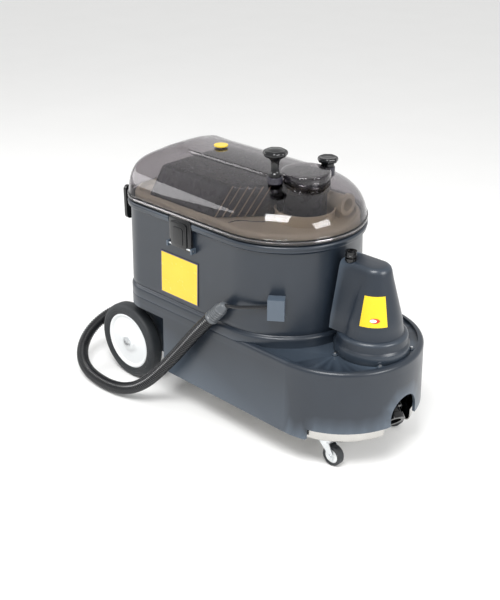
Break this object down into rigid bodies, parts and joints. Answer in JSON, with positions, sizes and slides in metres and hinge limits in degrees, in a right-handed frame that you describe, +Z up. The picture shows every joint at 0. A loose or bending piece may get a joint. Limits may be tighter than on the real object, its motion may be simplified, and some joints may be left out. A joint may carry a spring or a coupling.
{
  "type": "carpet cleaner machine",
  "caption": "Wheeled wet pick-up carpet cleaner: moulded tank and deck, clear domed lid, motor hood on the nose, drain hose, rear wheels and swivel castors.",
  "frame": {"origin": "on the floor under the middle of the machine's box, without the drain hose", "axes": "+X towards the nose, +Y towards the machine's left side, +Z up"},
  "size_m": [0.9206, 0.4781, 0.689],
  "materials": {
    "housing_plastic": "rotomoulded polyethylene, fine grain",
    "clear_lid": "smoked clear polycarbonate",
    "beige_plastic": "moulded polyethylene",
    "black_plastic": "gloss black moulding",
    "dark_plastic": "dark moulding",
    "white_plastic": "white moulding",
    "tyre_rubber": "solid rubber",
    "seal_rubber": "soft rubber",
    "stainless_steel": "polished sheet",
    "zinc_steel": "zinc plated",
    "label_vinyl": "yellow vinyl",
    "hose_plastic": "corrugated plastic",
    "grey_plastic": "grey moulding",
    "motor_metal": "cast aluminium"
  },
  "bodies": {
    "chassis": {"lower_housing": "housing_plastic", "chassis_pan": "stainless_steel", "tank_shell": "housing_plastic", "recovery_liner": "beige_plastic", "lid_seal": "seal_rubber", "axle_brackets": "zinc_steel", "separator_cage": "dark_plastic", "separator_box": "dark_plastic", "inlet_port": "beige_plastic", "latch_pin_right": "zinc_steel", "latch_pin_left": "zinc_steel", "motor_hood": "housing_plastic", "hood_screws": "zinc_steel", "hood_label": "label_vinyl", "vacuum_motor": "motor_metal", "solution_pump": "grey_plastic", "front_connector": "black_plastic", "coupling_body": "black_plastic", "rear_axle": "zinc_steel", "castor_plate_right": "zinc_steel", "castor_plate_left": "zinc_steel", "cable_hooks": "black_plastic", "switch_panel": "dark_plastic", "cable_gland": "black_plastic", "drain_stub": "black_plastic", "side_labels": "label_vinyl", "drain_hose": "hose_plastic", "hose_cuff": "grey_plastic", "hose_tail": "grey_plastic", "hose_bracket": "housing_plastic"},
    "lid": {"lid_dome": "clear_lid", "lid_badge": "label_vinyl"},
    "lift_knob": {"lift_knob": "black_plastic"},
    "relief_knob": {"relief_knob": "black_plastic"},
    "float": {"float_ball": "white_plastic"},
    "latch_right": {"latch_right": "black_plastic"},
    "latch_left": {"latch_left": "black_plastic"},
    "coupling_collar": {"coupling_collar": "black_plastic"},
    "cooling_fan": {"cooling_fan": "dark_plastic"},
    "vacuum_switch": {"vacuum_switch": "black_plastic"},
    "pump_switch": {"pump_switch": "black_plastic"},
    "wheel_right": {"tyre_right": "tyre_rubber", "hub_right": "white_plastic", "hub_cap_right": "zinc_steel"},
    "wheel_left": {"tyre_left": "tyre_rubber", "hub_left": "white_plastic", "hub_cap_left": "zinc_steel"},
    "castor_right": {"castor_fork_right": "zinc_steel", "castor_axle_right": "zinc_steel"},
    "castor_wheel_right": {"castor_tyre_right": "tyre_rubber", "castor_hub_right": "white_plastic"},
    "castor_left": {"castor_fork_left": "zinc_steel", "castor_axle_left": "zinc_steel"},
    "castor_wheel_left": {"castor_tyre_left": "tyre_rubber", "castor_hub_left": "white_plastic"}
  },
  "joints": [
    {"name": "lid_lift", "type": "slide", "parent": "chassis", "child": "lid", "axis": [0, 0, 1], "range_m": [0, 0.2]},
    {"name": "lift_knob_turn", "type": "hinge", "parent": "lid", "child": "lift_knob", "pos_m": [0.0916, -0.073, 0.626], "axis": [0, 0, 1], "range_deg": [-180, 0]},
    {"name": "relief_knob_turn", "type": "hinge", "parent": "lid", "child": "relief_knob", "pos_m": [0.116, 0.077, 0.62], "axis": [0, 0, 1], "range_deg": [0, 270]},
    {"name": "float_lift", "type": "slide", "parent": "chassis", "child": "float", "axis": [0, 0, 1], "range_m": [0, 0.035]},
    {"name": "latch_swing_right", "type": "hinge", "parent": "chassis", "child": "latch_right", "pos_m": [-0.097, -0.1895, 0.44], "axis": [1, 0, 0], "range_deg": [0, 70]},
    {"name": "wheel_spin_right", "type": "hinge", "parent": "chassis", "child": "wheel_right", "pos_m": [-0.328, -0.162, 0.1016], "axis": [0, 1, 0], "continuous": true},
    {"name": "castor_swivel_right", "type": "hinge", "parent": "chassis", "child": "castor_right", "pos_m": [0.2985, -0.1146, 0.07], "axis": [0, 0, 1], "continuous": true},
    {"name": "castor_spin_right", "type": "hinge", "parent": "castor_right", "child": "castor_wheel_right", "pos_m": [0.3205, -0.1146, 0.025], "axis": [0, 1, 0], "continuous": true},
    {"name": "latch_swing_left", "type": "hinge", "parent": "chassis", "child": "latch_left", "pos_m": [-0.097, 0.1895, 0.44], "axis": [1, 0, 0], "range_deg": [-70, 0]},
    {"name": "wheel_spin_left", "type": "hinge", "parent": "chassis", "child": "wheel_left", "pos_m": [-0.328, 0.162, 0.1016], "axis": [0, 1, 0], "continuous": true},
    {"name": "castor_swivel_left", "type": "hinge", "parent": "chassis", "child": "castor_left", "pos_m": [0.2985, 0.1146, 0.07], "axis": [0, 0, 1], "continuous": true},
    {"name": "castor_spin_left", "type": "hinge", "parent": "castor_left", "child": "castor_wheel_left", "pos_m": [0.3205, 0.1146, 0.025], "axis": [0, 1, 0], "continuous": true},
    {"name": "collar_slide", "type": "slide", "parent": "chassis", "child": "coupling_collar", "axis": [0, 0, -1], "range_m": [0, 0.003], "stiffness_N_per_m": 400},
    {"name": "fan_spin", "type": "hinge", "parent": "chassis", "child": "cooling_fan", "pos_m": [0.325, 0, 0.365], "axis": [0, 0, 1], "continuous": true},
    {"name": "vacuum_switch_rock", "type": "hinge", "parent": "chassis", "child": "vacuum_switch", "pos_m": [-0.331, -0.03, 0.395], "axis": [0, 1, 0], "range_deg": [0, 12]},
    {"name": "pump_switch_rock", "type": "hinge", "parent": "chassis", "child": "pump_switch", "pos_m": [-0.331, 0, 0.395], "axis": [0, 1, 0], "range_deg": [0, 12]}
  ]
}
